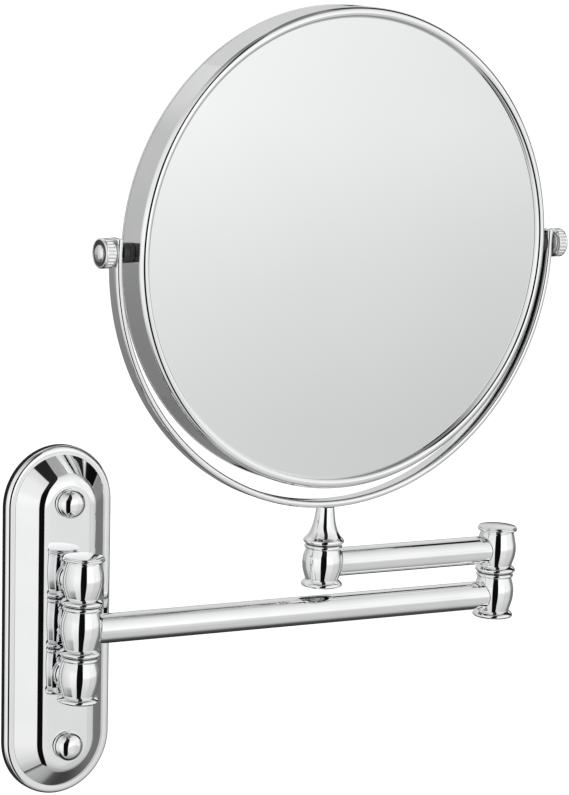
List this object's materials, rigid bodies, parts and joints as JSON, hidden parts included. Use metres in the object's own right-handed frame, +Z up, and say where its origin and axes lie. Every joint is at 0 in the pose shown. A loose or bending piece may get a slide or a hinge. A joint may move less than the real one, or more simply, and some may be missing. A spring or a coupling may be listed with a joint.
{
  "type": "extendable shaving mirror",
  "caption": "Chrome wall-mounted shaving mirror: round double-sided glass in a tilting yoke on a folding double swing arm with a stadium-shaped wall plate.",
  "frame": {"origin": "middle of the wall plate's back, on the wall plane", "axes": "+X along the wall towards the folded arm's elbow, +Y into the wall, +Z up; the plain glass faces -Y at rest"},
  "size_m": [0.263, 0.0616, 0.3362],
  "materials": {
    "chrome": "bright polished chrome plate",
    "steel": "plain zinc-plated steel",
    "mirror_glass": "silvered mirror glass",
    "nylon": "black nylon",
    "plug_plastic": "grey moulded plastic",
    "board": "dark backing card and spacer",
    "cast_metal": "as-cast light alloy"
  },
  "bodies": {
    "wall_side": {"wall_plate": "chrome", "backing_block": "cast_metal", "hinge_knuckle_upper": "chrome", "hinge_knuckle_lower": "chrome", "hinge_bolt": "chrome", "hinge_nut": "steel", "hinge_spring_washer": "steel", "hinge_washer_upper": "nylon", "hinge_washer_lower": "nylon", "knuckle_screw_upper": "steel", "wall_screw_upper": "steel", "cap_seat_upper": "nylon", "screw_cap_upper": "chrome", "wall_plug_upper": "plug_plastic", "knuckle_screw_lower": "steel", "wall_screw_lower": "steel", "cap_seat_lower": "nylon", "screw_cap_lower": "chrome", "wall_plug_lower": "plug_plastic"},
    "lower_arm": {"lower_arm_knuckle": "chrome", "lower_arm_tube": "chrome", "lower_arm_elbow": "chrome", "elbow_washer": "nylon"},
    "upper_arm": {"upper_arm_elbow": "chrome", "elbow_bolt": "chrome", "elbow_nut": "steel", "elbow_spring_washer": "steel", "upper_arm_tube": "chrome", "post_socket": "chrome", "post_washer": "nylon"},
    "swivel": {"swivel_post": "chrome", "post_nut": "steel", "post_spring_washer": "steel", "yoke": "chrome", "yoke_screw": "steel", "knob_washer_left": "steel", "knob_washer_right": "steel"},
    "head": {"rim_band": "chrome", "front_bezel": "chrome", "rear_bezel": "chrome", "plain_glass": "mirror_glass", "magnifying_glass": "mirror_glass", "backing_board": "board", "spacer_ring": "board", "pivot_boss_left": "steel", "pivot_bush_left": "nylon", "pivot_boss_right": "steel", "pivot_bush_right": "nylon"},
    "knob_left": {"knob_left": "chrome"},
    "knob_right": {"knob_right": "chrome"}
  },
  "joints": [
    {"name": "wall_hinge", "type": "hinge", "parent": "wall_side", "child": "lower_arm", "pos_m": [0, -0.023, 0], "axis": [0, 0, -1], "range_deg": [0, 180]},
    {"name": "elbow_hinge", "type": "hinge", "parent": "lower_arm", "child": "upper_arm", "pos_m": [0.212, -0.023, 0], "axis": [0, 0, 1], "range_deg": [-180, 180]},
    {"name": "post_swivel", "type": "hinge", "parent": "upper_arm", "child": "swivel", "pos_m": [0.119, -0.023, 0], "axis": [0, 0, 1], "continuous": true},
    {"name": "mirror_tilt", "type": "hinge", "parent": "swivel", "child": "head", "pos_m": [0.119, -0.023, 0.158], "axis": [1, 0, 0], "continuous": true},
    {"name": "knob_left_turn", "type": "hinge", "parent": "head", "child": "knob_left", "pos_m": [0.119, -0.023, 0.158], "axis": [-1, 0, 0], "range_deg": [0, 180]},
    {"name": "knob_right_turn", "type": "hinge", "parent": "head", "child": "knob_right", "pos_m": [0.119, -0.023, 0.158], "axis": [1, 0, 0], "range_deg": [0, 180]}
  ]
}
